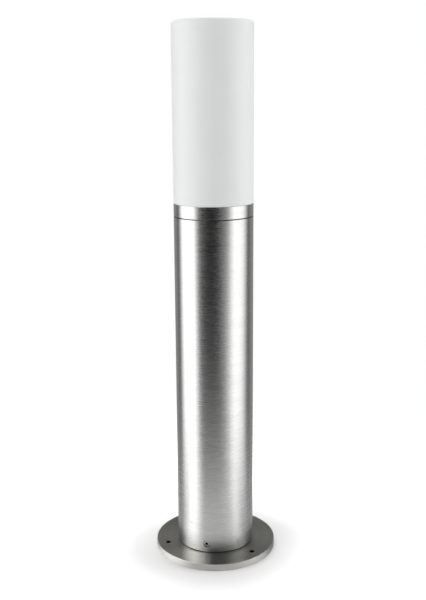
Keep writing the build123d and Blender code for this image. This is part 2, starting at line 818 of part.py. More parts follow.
# Holder base: the moulded cup under the lampholder, tapped for the nipple.
with BuildPart() as holder_base:
    add(
        turned(
            (nipple_diameter / 2 + thread_clearance, holder_bottom),
            (holder_radius, holder_bottom),
            (holder_radius, chamber_top),
            (holder_radius - holder_wall, chamber_top),
            (holder_radius - holder_wall, chamber_bottom),
            (nipple_diameter / 2 + thread_clearance, chamber_bottom),
        )
    )
    lowest_rims = holder_base.edges().filter_by(GeomType.CIRCLE).group_by(Axis.Z)[0]
    fillet(lowest_rims.sort_by(SortBy.RADIUS)[-1], holder_edge_radius)
save(holder_base.part, "holder_base")

# Holder insert: a disc on the base's rim that carries the contacts and terminals.
with BuildPart() as holder_insert:
    add(
        turned(
            (0, chamber_top - holder_register),
            (holder_radius - holder_wall - thread_clearance, chamber_top - holder_register),
            (holder_radius - holder_wall - thread_clearance, insert_top),
            (0, insert_top),
        )
    )
    with BuildSketch(Plane.XY.offset(chamber_top - holder_register)):
        with GridLocations(2 * holder_terminal_offset, 1, 2, 1):
            Rectangle(holder_terminal_size[0], holder_terminal_size[1])
    extrude(amount=holder_register, mode=Mode.SUBTRACT)
save(holder_insert.part, "holder_insert")

# Holder terminals: two brass blocks under the insert, each with a side screw.
with BuildPart() as holder_terminals:
    with Locations((0, 0, chamber_top - holder_terminal_size[2] / 2)):
        with GridLocations(2 * holder_terminal_offset, 1, 2, 1):
            Box(*holder_terminal_size)
    for side in (-1, 1):
        face = Plane(
            origin=(side * (holder_terminal_offset + holder_terminal_size[0] / 2), 0, lead_turn_level),
            z_dir=(side, 0, 0),
        )
        with BuildSketch(face):
            Circle(holder_terminal_screw_diameter / 2)
        extrude(amount=holder_terminal_screw_stand)
save(holder_terminals.part, "holder_terminals")

# Holder contact: a sprung brass tongue, cranked up under the middle of the lamp's cap.
with BuildPart() as holder_contact:
    with BuildSketch(Plane.XZ.offset(-holder_contact_width / 2)):
        with BuildLine():
            Polyline(
                (-holder_contact_length / 2, insert_top),
                (-holder_contact_crank, insert_top),
                (0, insert_top + holder_contact_lift - holder_contact_sheet),
                (holder_contact_reach, insert_top + holder_contact_lift - holder_contact_sheet),
                (holder_contact_reach, insert_top + holder_contact_lift),
                (-holder_contact_lean, insert_top + holder_contact_lift),
                (-holder_contact_crank - holder_contact_lean, insert_top + holder_contact_sheet),
                (-holder_contact_length / 2, insert_top + holder_contact_sheet),
                close=True,
            )
        make_face()
    extrude(amount=holder_contact_width)
save(holder_contact.part, "holder_contact")

# Holder shell: the metal screw shell that takes the lamp's cap, with a foot flange on the insert.
with BuildPart() as holder_shell:
    add(
        turned(
            (shell_root, insert_top + shell_wall),
            (shell_root - shell_foot_width, insert_top + shell_wall),
            (shell_root - shell_foot_width, insert_top),
            (shell_root + shell_wall, insert_top),
            (shell_root + shell_wall, holder_top - 2 * shell_wall),
            (shell_root, holder_top - 2 * shell_wall),
        )
    )
    add(
        thread_ridge(
            cap_pitch,
            shell_thread_turns,
            shell_root,
            shell_crest,
            cap_thread_root_width,
            cap_thread_crest_width,
            cap_thread_start + cap_pitch * shell_thread_lead_in,
        )
    )
save(holder_shell.part, "holder_shell")

# Holder sleeve: the moulded outer sleeve, screwed down on the base, that keeps fingers off the shell.
with BuildPart() as holder_sleeve:
    add(
        turned(
            (holder_radius - holder_wall, chamber_top),
            (holder_radius, chamber_top),
            (holder_radius, holder_top),
            (shell_root, holder_top),
            (shell_root, holder_top - 2 * shell_wall),
            (shell_root + shell_wall + travel_gap, holder_top - 2 * shell_wall),
            (shell_root + shell_wall + travel_gap, holder_top - holder_wall - shell_wall),
            (holder_radius - holder_wall, holder_top - holder_wall - shell_wall),
        )
    )
    highest_rims = holder_sleeve.edges().filter_by(GeomType.CIRCLE).group_by(Axis.Z)[-1]
    fillet(highest_rims.sort_by(SortBy.RADIUS)[-1], holder_edge_radius)
save(holder_sleeve.part, "holder_sleeve")

# Diffuser gasket: a flat rubber ring that stays on the neck and seals against the seat in the ring.
diffuser_gasket = tube(lip_bore - travel_gap, neck_radius + travel_gap, seat_level, ring_top)
save(diffuser_gasket, "diffuser_gasket")

# Diffuser: an opal moulding with a rounded top edge, an inner shoulder and a threaded neck below it.
with BuildPart() as diffuser:
    add(
        turned(
            (neck_bore, neck_bottom),
            (neck_radius, neck_bottom),
            (neck_radius, ring_top),
            (post_radius, ring_top),
            (post_radius, light_top),
            (0, light_top),
            (0, light_top - diffuser_top_thickness),
            (post_radius - diffuser_wall, light_top - diffuser_top_thickness),
            (post_radius - diffuser_wall, ring_top + shoulder_thickness),
            (neck_bore, ring_top + shoulder_thickness),
        )
    )
    rims = diffuser.edges().filter_by(GeomType.CIRCLE)
    fillet(rims.group_by(Axis.Z)[-1], diffuser_top_radius)
    inner_top_level = light_top - diffuser_top_thickness
    inner_top_rims = [rim for rim in rims if abs(rim.center().Z - inner_top_level) < level_tolerance]
    fillet(inner_top_rims, diffuser_top_radius / 2)
    lower_rims = [rim for rim in rims if abs(rim.center().Z - ring_top) < level_tolerance]
    chamfer(ShapeList(lower_rims).sort_by(SortBy.RADIUS)[-1], edge_break)
    add(
        thread_ridge(
            neck_pitch,
            neck_thread_turns,
            neck_radius,
            neck_crest,
            neck_thread_root_width,
            neck_thread_crest_width,
            neck_thread_start,
        )
    )
save(diffuser.part, "diffuser")

# Lamp contact: the solder button at the bottom of the cap.
lamp_contact = turned(
    (0, lamp_bottom),
    (lamp_button_diameter / 4, lamp_bottom),
    (lamp_button_diameter / 2, lamp_bottom + lamp_button_height),
    (0, lamp_bottom + lamp_button_height),
)
save(lamp_contact, "lamp_contact")

# Lamp insulator: the black cone between the button and the cap's shell.
lamp_insulator = turned(
    (0, lamp_bottom + lamp_button_height),
    (lamp_button_diameter / 2 + edge_break, lamp_bottom + lamp_button_height),
    (cap_root - cap_wall, cap_bottom),
    (0, cap_bottom),
)
save(lamp_insulator, "lamp_insulator")

# Lamp cap: the plated screw shell.
with BuildPart() as lamp_cap:
    add(
        turned(
            (0, cap_bottom),
            (cap_root, cap_bottom),
            (cap_root, cap_top),
            (cap_root - cap_wall, cap_top),
            (cap_root - cap_wall, cap_bottom + cap_wall),
            (0, cap_bottom + cap_wall),
        )
    )
    add(
        thread_ridge(
            cap_pitch,
            cap_thread_turns,
            cap_root,
            cap_crest,
            cap_thread_root_width,
            cap_thread_crest_width,
            cap_thread_start,
        )
    )
save(lamp_cap.part, "lamp_cap")

# Lamp housing: a moulded trumpet that plugs into the cap and widens up to the globe.
plug_radius = cap_root - cap_wall
board_radius = lamp_radius - lamp_wall
board_bottom = lamp_join - lamp_board_thickness
with BuildPart() as lamp_housing:
    with BuildSketch(Plane.XZ):
        with BuildLine():
            outside = Spline(
                (lamp_neck_diameter / 2, cap_top),
                (lamp_waist_diameter / 2, (cap_top + lamp_join) / 2),
                (lamp_radius, lamp_join),
                tangents=((0, 1), (lamp_rim_flare, 1)),
            )
            Polyline(
                outside @ 1,
                (board_radius, lamp_join),
                (board_radius, board_bottom),
                (board_radius - lamp_board_ledge, board_bottom),
                (plug_radius - lamp_wall, cap_top),
                (plug_radius - lamp_wall, cap_top - lamp_plug_depth),
                (plug_radius, cap_top - lamp_plug_depth),
                (plug_radius, cap_top),
                outside @ 0,
            )
        make_face()
    revolve(axis=Axis.Z)
save(lamp_housing.part, "lamp_housing")

# Lamp board: a disc in the housing's mouth that carries the light-emitting chips.
lamp_board = tube(board_radius, nipple_bore_diameter / 2, board_bottom, lamp_join)
save(lamp_board, "lamp_board")

# Lamp chips: small blocks on the board, in a ring.
with BuildPart() as lamp_chips:
    with Locations((0, 0, lamp_join)):
        with PolarLocations(lamp_chip_circle_diameter / 2, lamp_chip_count):
            Box(*lamp_chip_size, align=(Align.CENTER, Align.CENTER, Align.MIN))
save(lamp_chips.part, "lamp_chips")

# Lamp globe: an opal dome on the housing's rim.
with BuildPart() as lamp_globe:
    with BuildSketch(Plane.XZ):
        with BuildLine():
            Line((lamp_radius, lamp_join), (lamp_radius, lamp_top - lamp_radius))
            RadiusArc((lamp_radius, lamp_top - lamp_radius), (0, lamp_top), -lamp_radius)
            Line((0, lamp_top), (0, lamp_top - lamp_wall))
            RadiusArc(
                (0, lamp_top - lamp_wall),
                (lamp_radius - lamp_wall, lamp_top - lamp_radius),
                lamp_radius - lamp_wall,
            )
            Polyline(
                (lamp_radius - lamp_wall, lamp_top - lamp_radius),
                (lamp_radius - lamp_wall, lamp_join),
                (lamp_radius, lamp_join),
            )
        make_face()
    revolve(axis=Axis.Z)
save(lamp_globe.part, "lamp_globe")
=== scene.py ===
import math

import bpy
from mathutils import Matrix, Vector


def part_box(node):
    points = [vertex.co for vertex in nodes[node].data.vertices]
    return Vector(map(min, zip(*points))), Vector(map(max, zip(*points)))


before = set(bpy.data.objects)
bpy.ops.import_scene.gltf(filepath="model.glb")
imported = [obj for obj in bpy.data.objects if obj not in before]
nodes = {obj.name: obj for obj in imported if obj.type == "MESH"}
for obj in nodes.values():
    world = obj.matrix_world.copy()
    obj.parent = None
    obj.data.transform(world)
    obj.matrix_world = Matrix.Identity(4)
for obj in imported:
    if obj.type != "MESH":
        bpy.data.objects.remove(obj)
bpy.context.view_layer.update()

# ---- Camera ----------------------------------------------------------------------------------------------
# It stands a little higher than the light's head, to the right of the front set screw, and looks down.
camera_turn = math.radians(13.8)
camera_distance = 0.8534
camera_height = 0.4494
camera_pitch = math.radians(12.762)
camera_yaw = math.radians(0.073)
camera_roll = math.radians(-0.37)

camera_data = bpy.data.cameras.new("camera")
camera_data.sensor_width = 36.0
camera_data.lens = 53.98
camera = bpy.data.objects.new("camera", camera_data)
bpy.context.scene.collection.objects.link(camera)
stand = Vector((math.sin(camera_turn), -math.cos(camera_turn), 0)) * camera_distance
camera.matrix_world = (
    Matrix.Translation(stand + Vector((0, 0, camera_height)))
    @ Matrix.Rotation(camera_turn + camera_yaw, 4, "Z")
    @ Matrix.Rotation(math.pi / 2 - camera_pitch, 4, "X")
    @ Matrix.Rotation(camera_roll, 4, "Z")
)
bpy.context.scene.camera = camera

# ---- Studio ----------------------------------------------------------------------------------------------
# A round pale table top fades into a white room. Tall soft panels stand at both sides, with weaker ones
# beside the right panel, high on the left and behind. The room behind the camera is dark.
bpy.context.scene.view_settings.view_transform = "Standard"


def connect(tree, *pairs):
    """Links (output, input) socket pairs in a node tree."""
    for output, socket in pairs:
        tree.links.new(output, socket)


def math_node(tree, operation, first, second=None):
    """A Math node, whose inputs are sockets or numbers."""
    node = tree.nodes.new("ShaderNodeMath")
    node.operation = operation
    for socket, value in zip(node.inputs, (first, second)):
        if isinstance(value, (int, float)):
            socket.default_value = value
        elif value is not None:
            tree.links.new(value, socket)
    return node.outputs["Value"]


def ramp(tree, value, low, high, to_low=0.0, to_high=1.0):
    """A value spread smoothly from one range to another, and held there."""
    node = tree.nodes.new("ShaderNodeMapRange")
    node.interpolation_type = "SMOOTHSTEP"
    node.inputs["From Min"].default_value = low
    node.inputs["From Max"].default_value = high
    node.inputs["To Min"].default_value = to_low
    node.inputs["To Max"].default_value = to_high
    tree.links.new(value, node.inputs["Value"])
    return node.outputs["Result"]


def vector_node(tree, operation, first, second=None):
    """A Vector Math node on a socket, with a fixed second vector where one is given."""
    node = tree.nodes.new("ShaderNodeVectorMath")
    node.operation = operation
    tree.links.new(first, node.inputs[0])
    if second:
        node.inputs[1].default_value = second
    return node


def bearing_turn(bearing):
    """A bearing in degrees to the right of the camera, as a turn about the light."""
    return camera_turn + math.radians(bearing)


def sector(tree, direction, bearing, core, edge):
    """1 where a level direction is within core degrees of a bearing, and 0 past edge degrees from it."""
    turn = bearing_turn(bearing)
    toward = vector_node(tree, "DOT_PRODUCT", direction, (math.sin(turn), -math.cos(turn), 0))
    angle = math_node(tree, "ARCCOSINE", toward.outputs["Value"])
    return ramp(tree, angle, math.radians(core), math.radians(edge), to_low=1.0, to_high=0.0)


def table_top(radius, rings, sides):
    """A flat round mesh of rings, centred under the light."""
    corners = [(0.0, 0.0, 0.0)]
    for ring in range(1, rings + 1):
        for side in range(sides):
            turn = 2 * math.pi * side / sides
            reach = radius * ring / rings
            corners.append((reach * math.cos(turn), reach * math.sin(turn), 0.0))
    faces = [(0, 1 + side, 1 + (side + 1) % sides) for side in range(sides)]
    for ring in range(rings - 1):
        inner, outer = 1 + ring * sides, 1 + (ring + 1) * sides
        for side in range(sides):
            following = (side + 1) % sides
            faces.append((inner + side, outer + side, outer + following, inner + following))
    mesh = bpy.data.meshes.new("table_top")
    mesh.from_pydata(corners, [], faces)
    return mesh


floor = bpy.data.objects.new("floor", table_top(radius=2.2, rings=8, sides=96))
floor.location.z = -0.0002
bpy.context.scene.collection.objects.link(floor)
floor_paint = bpy.data.materials.new("floor_paper")
floor_paint.use_nodes = True
tree = floor_paint.node_tree
tree.nodes.clear()
place = tree.nodes.new("ShaderNodeTexCoord").outputs["Object"]
distance = vector_node(tree, "LENGTH", place).outputs["Value"]
outwards = vector_node(tree, "NORMALIZE", place).outputs["Vector"]

# The camera sees the paper fade into the room, with a painted shadow that darkens it close to the plate. The
# metal sees painted light on it: brighter in front than behind, and brightest to the front left.
fade = ramp(tree, distance, low=0.02, high=0.50)
seen_tone_with_painted_shadow = ramp(tree, distance, low=0.056, high=0.18, to_low=0.92, to_high=1.8)
painted_light_front_left = sector(tree, outwards, bearing=-58, core=6, edge=30)
lit = tree.nodes.new("ShaderNodeMapRange")
lit.inputs["To Min"].default_value = 0.45
lit.inputs["To Max"].default_value = 1.07
brightest = tree.nodes.new("ShaderNodeMath")
brightest.operation = "MULTIPLY_ADD"
brightest.inputs[1].default_value = 0.75
shade = tree.nodes.new("ShaderNodeMix")
shade.data_type = "FLOAT"
tone = tree.nodes.new("ShaderNodeCombineColor")
paths = tree.nodes.new("ShaderNodeLightPath")
paper = tree.nodes.new("ShaderNodeBsdfDiffuse")
clear = tree.nodes.new("ShaderNodeBsdfTransparent")
blend = tree.nodes.new("ShaderNodeMixShader")
surface = tree.nodes.new("ShaderNodeOutputMaterial")
connect(
    tree,
    (sector(tree, outwards, bearing=-12, core=62, edge=94), lit.inputs["Value"]),
    (painted_light_front_left, brightest.inputs[0]),
    (lit.outputs["Result"], brightest.inputs[2]),
    (brightest.outputs["Value"], shade.inputs["A"]),
    (seen_tone_with_painted_shadow, shade.inputs["B"]),
    (paths.outputs["Is Camera Ray"], shade.inputs["Factor"]),
    (shade.outputs["Result"], tone.inputs["Red"]),
    (shade.outputs["Result"], tone.inputs["Green"]),
    (shade.outputs["Result"], tone.inputs["Blue"]),
    (tone.outputs["Color"], paper.inputs["Color"]),
    (fade, blend.inputs["Fac"]),
    (paper.outputs["BSDF"], blend.inputs[1]),
    (clear.outputs["BSDF"], blend.inputs[2]),
    (blend.outputs["Shader"], surface.inputs["Surface"]),
)
floor.data.materials.append(floor_paint)


def fill_light(name, bearing, distance, middle, width, height, power):
    """A soft lamp that lights the piece from a bearing, and that the metal doesn't mirror."""
    lamp = bpy.data.lights.new(name, "AREA")
    lamp.shape = "RECTANGLE"
    lamp.size = width
    lamp.size_y = height
    lamp.energy = power
    box = bpy.data.objects.new(name, lamp)
    turn = bearing_turn(bearing)
    box.location = Vector((math.sin(turn), -math.cos(turn), 0)) * distance + Vector((0, 0, middle))
    aim = Vector((0, 0, 0.25)) - box.location
    box.rotation_mode = "QUATERNION"
    box.rotation_quaternion = aim.to_track_quat("-Z", "Y")
    box.visible_glossy = False
    box.visible_camera = False
    bpy.context.scene.collection.objects.link(box)


fill_light("front_fill", bearing=0, distance=1.5, middle=0.7, width=1.2, height=1.2, power=9.1)
fill_light("right_fill", bearing=100, distance=1.0, middle=0.5, width=0.6, height=1.0, power=4.6)
fill_light("top_fill", bearing=180, distance=0.5, middle=1.4, width=1.2, height=1.2, power=14.0)

room = bpy.data.worlds.new("room")
bpy.context.scene.world = room
room.use_nodes = True
tree = room.node_tree
tree.nodes.clear()
direction = tree.nodes.new("ShaderNodeTexCoord").outputs["Generated"]
split = tree.nodes.new("ShaderNodeSeparateXYZ")
connect(tree, (direction, split.inputs["Vector"]))
upward = split.outputs["Z"]
off_level = math_node(tree, "ABSOLUTE", upward)


def panel(bearing, core, edge, glow, lean, full_height, top_height, top_glow):
    """A soft-edged bright panel on the room's wall, bowed by lean so that its ends come to the front.

    Angles are in degrees and heights are sines. Its glow changes to top_glow between the two heights.
    """
    turn = bearing_turn(bearing)
    leaning = vector_node(
        tree, "MULTIPLY_ADD", off_level, (lean * math.cos(turn), lean * math.sin(turn), 0)
    )
    connect(tree, (direction, leaning.inputs[2]))
    level = vector_node(tree, "MULTIPLY", leaning.outputs["Vector"], (1, 1, 0))
    around = vector_node(tree, "NORMALIZE", level.outputs["Vector"]).outputs["Vector"]
    strength = ramp(tree, upward, full_height, top_height, to_low=glow, to_high=top_glow)
    return math_node(tree, "MULTIPLY", sector(tree, around, bearing, core, edge), strength)


# The panels stand to the left, to the right, beside the right one, high on the left, and behind.
dark_front = 0.005
light_here = dark_front
for panel_light in (
    panel(-86, core=14, edge=41, glow=2.1, lean=-0.35, full_height=0.60, top_height=0.95, top_glow=0.2),
    panel(85, core=14, edge=40, glow=2.0, lean=1.0, full_height=0.10, top_height=0.50, top_glow=0.25),
    panel(27, core=6, edge=15, glow=0.04, lean=0.0, full_height=0.10, top_height=0.60, top_glow=0.02),
    panel(-44, core=6, edge=26, glow=0.0, lean=0.0, full_height=0.35, top_height=0.65, top_glow=0.6),
    panel(178, core=35, edge=78, glow=0.32, lean=0.0, full_height=0.05, top_height=0.62, top_glow=0.10),
):
    light_here = math_node(tree, "ADD", panel_light, light_here)

paths = tree.nodes.new("ShaderNodeLightPath")
seen = tree.nodes.new("ShaderNodeMix")
seen.data_type = "FLOAT"
seen.inputs["B"].default_value = 1.0
glow = tree.nodes.new("ShaderNodeBackground")
glow.inputs["Color"].default_value = (1, 1, 1, 1)
surround = tree.nodes.new("ShaderNodeOutputWorld")
connect(
    tree,
    (paths.outputs["Is Camera Ray"], seen.inputs["Factor"]),
    (light_here, seen.inputs["A"]),
    (seen.outputs["Result"], glow.inputs["Strength"]),
    (glow.outputs["Background"], surround.inputs["Surface"]),
)

# ---- Base plate ------------------------------------------------------------------------------------------
# A stainless disc, faced on a lathe, so its top is covered in fine rings and its reflections fan out from
# the middle. The edge is turned too, with its corner broken, and painted shade darkens the drilled holes.


def new_group(name, ins, outs):
    """An empty shader node group with float inputs and outputs."""
    group = bpy.data.node_groups.new(name, "ShaderNodeTree")
    for label, value in ins:
        socket = group.interface.new_socket(label, in_out="INPUT", socket_type="NodeSocketFloat")
        socket.default_value = value
    for label in outs:
        group.interface.new_socket(label, in_out="OUTPUT", socket_type="NodeSocketFloat")
    return group, group.nodes.new("NodeGroupInput").outputs, group.nodes.new("NodeGroupOutput").inputs


def noise(tree, place, scale, detail, stretch=(1, 1, 1), turn=(0, 0, 0)):
    """Noise at a place, whose scale is a number or a socket, stretched and turned as told."""
    mapping = tree.nodes.new("ShaderNodeMapping")
    mapping.inputs["Scale"].default_value = stretch
    mapping.inputs["Rotation"].default_value = turn
    texture = tree.nodes.new("ShaderNodeTexNoise")
    texture.inputs["Detail"].default_value = detail
    if isinstance(scale, (int, float)):
        texture.inputs["Scale"].default_value = scale
    else:
        tree.links.new(scale, texture.inputs["Scale"])
    connect(tree, (place, mapping.inputs["Vector"]), (mapping.outputs["Vector"], texture.inputs["Vector"]))
    return texture.outputs["Fac"]


def whereabouts(tree):
    """The place on the piece and the way its surface faces, whole and by axis."""
    node = tree.nodes.new("ShaderNodeTexCoord")
    place, facing = node.outputs["Object"], node.outputs["Normal"]
    split = [tree.nodes.new("ShaderNodeSeparateXYZ") for _ in range(2)]
    connect(tree, (place, split[0].inputs["Vector"]), (facing, split[1].inputs["Vector"]))
    return place, facing, split[0].outputs, split[1].outputs


def distance_out(tree, parts):
    """How far a place is from the light's upright axis."""
    square_x = math_node(tree, "MULTIPLY", parts["X"], parts["X"])
    square_y = math_node(tree, "MULTIPLY", parts["Y"], parts["Y"])
    return math_node(tree, "SQRT", math_node(tree, "ADD", square_x, square_y))


# Tool lines round a turned or brushed piece: Lines is the fine pattern and Drift the slow change of tone.
lathe_lines, given, result = new_group(
    "lathe_lines", [("Line Pitch", 0.0004), ("Line Length", 6.0)], ["Lines", "Drift"]
)
parts, turns = whereabouts(lathe_lines)[2:]
face_on = 0.7
flat = math_node(lathe_lines, "GREATER_THAN", math_node(lathe_lines, "ABSOLUTE", turns["Z"]), face_on)
radius = distance_out(lathe_lines, parts)
across = lathe_lines.nodes.new("ShaderNodeMix")
across.data_type = "FLOAT"
connect(
    lathe_lines,
    (flat, across.inputs["Factor"]),
    (parts["Z"], across.inputs["A"]),
    (radius, across.inputs["B"]),
)
never_zero = 0.0001
safe_radius = math_node(lathe_lines, "MAXIMUM", radius, never_zero)
line_place = lathe_lines.nodes.new("ShaderNodeCombineXYZ")
for axis in ("X", "Y"):
    share = math_node(lathe_lines, "DIVIDE", parts[axis], safe_radius)
    around_axis = math_node(lathe_lines, "MULTIPLY", share, given["Line Length"])
    connect(lathe_lines, (around_axis, line_place.inputs[axis]))
steps = math_node(lathe_lines, "DIVIDE", across.outputs["Result"], given["Line Pitch"])
connect(lathe_lines, (steps, line_place.inputs["Z"]))
line_vector = line_place.outputs["Vector"]
connect(
    lathe_lines,
    (noise(lathe_lines, line_vector, 1.0, 3.0), result["Lines"]),
    (noise(lathe_lines, line_vector, 1.0, 4.0, (0.5, 0.5, 0.07)), result["Drift"]),
)

# Corners that handling has polished: Rub is 1 on an edge, in patches.
edge_rub, given, result = new_group("edge_rub", [("Rub Width", 0.0004), ("Patch Size", 0.008)], ["Rub"])
place = whereabouts(edge_rub)[0]
rounded = edge_rub.nodes.new("ShaderNodeBevel")
rounded.samples = 6
plain = edge_rub.nodes.new("ShaderNodeNewGeometry")
bend = edge_rub.nodes.new("ShaderNodeVectorMath")
bend.operation = "DOT_PRODUCT"
connect(
    edge_rub,
    (given["Rub Width"], rounded.inputs["Radius"]),
    (rounded.outputs["Normal"], bend.inputs[0]),
    (plain.outputs["Normal"], bend.inputs[1]),
)
corner = ramp(edge_rub, bend.outputs["Value"], 0.80, 0.985, to_low=1.0, to_high=0.0)
patch_scale = math_node(edge_rub, "DIVIDE", 1.0, given["Patch Size"])
patches = ramp(edge_rub, noise(edge_rub, place, patch_scale, 4.0), 0.35, 0.62, to_low=0.25, to_high=1.0)
connect(edge_rub, (math_node(edge_rub, "MULTIPLY", corner, patches), result["Rub"]))

# Fine straight scratches, few and in two directions, from packing and fitting.
scuffs, given, result = new_group("scuffs", [("Scuff Size", 0.002), ("Amount", 0.5)], ["Scuffs"])
place = whereabouts(scuffs)[0]
scuff_scale = math_node(scuffs, "DIVIDE", 1.0, given["Scuff Size"])
one_way = noise(scuffs, place, scuff_scale, 2.0, stretch=(0.08, 1.6, 0.5), turn=(0.4, 0.9, 0.3))
one_way = ramp(scuffs, one_way, 0.66, 0.72)
other_way = noise(scuffs, place, scuff_scale, 2.0, stretch=(1.5, 0.1, 0.35), turn=(1.1, 0.2, 2.0))
other_way = ramp(scuffs, other_way, 0.67, 0.73)
both_ways = math_node(scuffs, "MAXIMUM", one_way, other_way)
connect(scuffs, (math_node(scuffs, "MULTIPLY", both_ways, given["Amount"]), result["Scuffs"]))


def new_material(name, colour, metallic, roughness):
    """A material with a Principled shader, and its tree and shader for further nodes."""
    material = bpy.data.materials.new(name)
    material.use_nodes = True
    tree = material.node_tree
    shader = tree.nodes["Principled BSDF"]
    shader.inputs["Base Color"].default_value = (*colour, 1)
    shader.inputs["Metallic"].default_value = metallic
    shader.inputs["Roughness"].default_value = roughness
    return material, tree, shader


def add_group(tree, group, **values):
    """Places a shared effect in a material with its own values, and gives its outputs."""
    node = tree.nodes.new("ShaderNodeGroup")
    node.node_tree = group
    for label, value in values.items():
        node.inputs[label.replace("_", " ").title()].default_value = value
    return node.outputs


def vary(tree, mask, low, high, socket):
    """Spreads a mask's middle between two values, or two colours, on a shader's socket."""
    if isinstance(low, tuple):
        mix = tree.nodes.new("ShaderNodeMix")
        mix.data_type = "RGBA"
        mix.inputs["A"].default_value = (*low, 1)
        mix.inputs["B"].default_value = (*high, 1)
        connect(tree, (ramp(tree, mask, 0.2, 0.8), mix.inputs["Factor"]), (mix.outputs["Result"], socket))
    else:
        connect(tree, (ramp(tree, mask, 0.2, 0.8, low, high), socket))


def cover(tree, mask, value, socket):
    """Lays one value or colour over what already feeds a shader's socket, where a mask is 1."""
    mix = tree.nodes.new("ShaderNodeMix")
    if isinstance(value, tuple):
        mix.data_type = "RGBA"
        mix.inputs["B"].default_value = (*value, 1)
    else:
        mix.data_type = "FLOAT"
        mix.inputs["B"].default_value = value
    below = socket.links[0].from_socket
    connect(tree, (mask, mix.inputs["Factor"]), (below, mix.inputs["A"]), (mix.outputs["Result"], socket))


def raise_surface(tree, height, shader, depth):
    """Feeds a height, which is depth metres at 1, to the shader's normal through a Bump node."""
    bump = tree.nodes.new("ShaderNodeBump")
    bump.inputs["Distance"].default_value = depth
    before = shader.inputs["Normal"].links
    if before:
        connect(tree, (before[0].from_socket, bump.inputs["Normal"]))
    connect(tree, (height, bump.inputs["Height"]), (bump.outputs["Normal"], shader.inputs["Normal"]))


def turned_metal(name, dark, light, roughness, spread, stretch, pitch, length, depth):
    """Brushed or lathe-turned metal, whose gloss is stretched across its tool lines."""
    material, tree, shader = new_material(name, light, 1.0, roughness)
    shader.inputs["Anisotropic"].default_value = stretch
    shader.inputs["Anisotropic Rotation"].default_value = 0.25
    lines = add_group(tree, lathe_lines, line_pitch=pitch, line_length=length)
    round_axis = tree.nodes.new("ShaderNodeTangent")
    round_axis.direction_type = "RADIAL"
    round_axis.axis = "Z"
    connect(tree, (round_axis.outputs["Tangent"], shader.inputs["Tangent"]))
    vary(tree, lines["Drift"], dark, light, shader.inputs["Base Color"])
    vary(tree, lines["Lines"], roughness - spread, roughness + spread, shader.inputs["Roughness"])
    raise_surface(tree, lines["Lines"], shader, depth)
    return material, tree, shader


def dress(material, *names):
    """Gives CAD nodes their finished material in place of the plain one."""
    for name in names:
        for slot in nodes[name].material_slots:
            slot.material = material


plate_steel, tree, shader = turned_metal(
    "plate_steel", dark=(0.69, 0.685, 0.635), light=(0.79, 0.785, 0.73), roughness=0.34, spread=0.04,
    stretch=0.94, pitch=0.00035, length=2.5, depth=0.000002,
)
parts, turns = whereabouts(tree)[2:]
side_on = 0.4
turned_side = math_node(tree, "LESS_THAN", math_node(tree, "ABSOLUTE", turns["Z"]), side_on)
cover(tree, turned_side, (0.56, 0.555, 0.53), shader.inputs["Base Color"])
rub = add_group(tree, edge_rub, rub_width=0.0003, patch_size=0.012)["Rub"]
cover(tree, rub, (0.72, 0.72, 0.70), shader.inputs["Base Color"])
marks = add_group(tree, scuffs, scuff_size=0.004, amount=0.35)["Scuffs"]
cover(tree, marks, 0.45, shader.inputs["Roughness"])
# Painted shade: the walls of the drilled holes are coloured near black.
rim_radius = 0.058
inside_rim = math_node(tree, "LESS_THAN", distance_out(tree, parts), rim_radius)
painted_hole_shade = math_node(tree, "MULTIPLY", turned_side, inside_rim)
cover(tree, painted_hole_shade, (0.03, 0.03, 0.028), shader.inputs["Base Color"])
cover(tree, painted_hole_shade, 0.6, shader.inputs["Roughness"])
dress(plate_steel, "base_plate")

# ---- Base collar -----------------------------------------------------------------------------------------
# An aluminium ring, turned all over, that centres the post on the plate. Three countersunk stainless socket
# screws hold it from below. Their threads are rolled and dark with drawing oil.
collar_alloy, tree, shader = turned_metal(
    "collar_alloy", dark=(0.66, 0.66, 0.67), light=(0.80, 0.80, 0.81), roughness=0.30, spread=0.07,
    stretch=0.75, pitch=0.0006, length=9.0, depth=0.00001,
)
rub = add_group(tree, edge_rub, rub_width=0.0004, patch_size=0.006)["Rub"]
cover(tree, rub, (0.88, 0.88, 0.88), shader.inputs["Base Color"])
dress(collar_alloy, "base_collar")

# A rolled thread: ridges every Pitch metres of Along, between From and To.
rolled_thread, given, result = new_group(
    "rolled_thread", [("Along", 0.0), ("From", 0.0), ("To", 1.0), ("Pitch", 0.0008)], ["Thread"]
)
half_pitch = math_node(rolled_thread, "MULTIPLY", given["Pitch"], 0.5)
ridge = math_node(rolled_thread, "PINGPONG", given["Along"], half_pitch)
ridge = math_node(rolled_thread, "DIVIDE", ridge, half_pitch)
past = math_node(rolled_thread, "GREATER_THAN", given["Along"], given["From"])
short = math_node(rolled_thread, "LESS_THAN", given["Along"], given["To"])
threaded = math_node(rolled_thread, "MULTIPLY", past, short)
connect(rolled_thread, (math_node(rolled_thread, "MULTIPLY", ridge, threaded), result["Thread"]))

# The skin of a moulded, cast or plated piece: Grain is its fine texture, Cloud its slow unevenness.
skin, given, result = new_group("skin", [("Grain Size", 0.0003), ("Cloud Size", 0.01)], ["Grain", "Cloud"])
place = whereabouts(skin)[0]
grain_scale = math_node(skin, "DIVIDE", 1.0, given["Grain Size"])
cloud_scale = math_node(skin, "DIVIDE", 1.0, given["Cloud Size"])
connect(
    skin,
    (noise(skin, place, grain_scale, 4.0), result["Grain"]),
    (noise(skin, place, cloud_scale, 3.0), result["Cloud"]),
)


def skinned(name, dark, light, metallic, roughness, spread, grain, cloud, depth):
    """A moulded or plated material with a grain, an uneven tone and polished corners."""
    material, tree, shader = new_material(name, light, metallic, roughness)
    texture = add_group(tree, skin, grain_size=grain, cloud_size=cloud)
    vary(tree, texture["Cloud"], dark, light, shader.inputs["Base Color"])
    vary(tree, texture["Grain"], roughness - spread, roughness + spread, shader.inputs["Roughness"])
    raise_surface(tree, texture["Grain"], shader, depth)
    return material, tree, shader


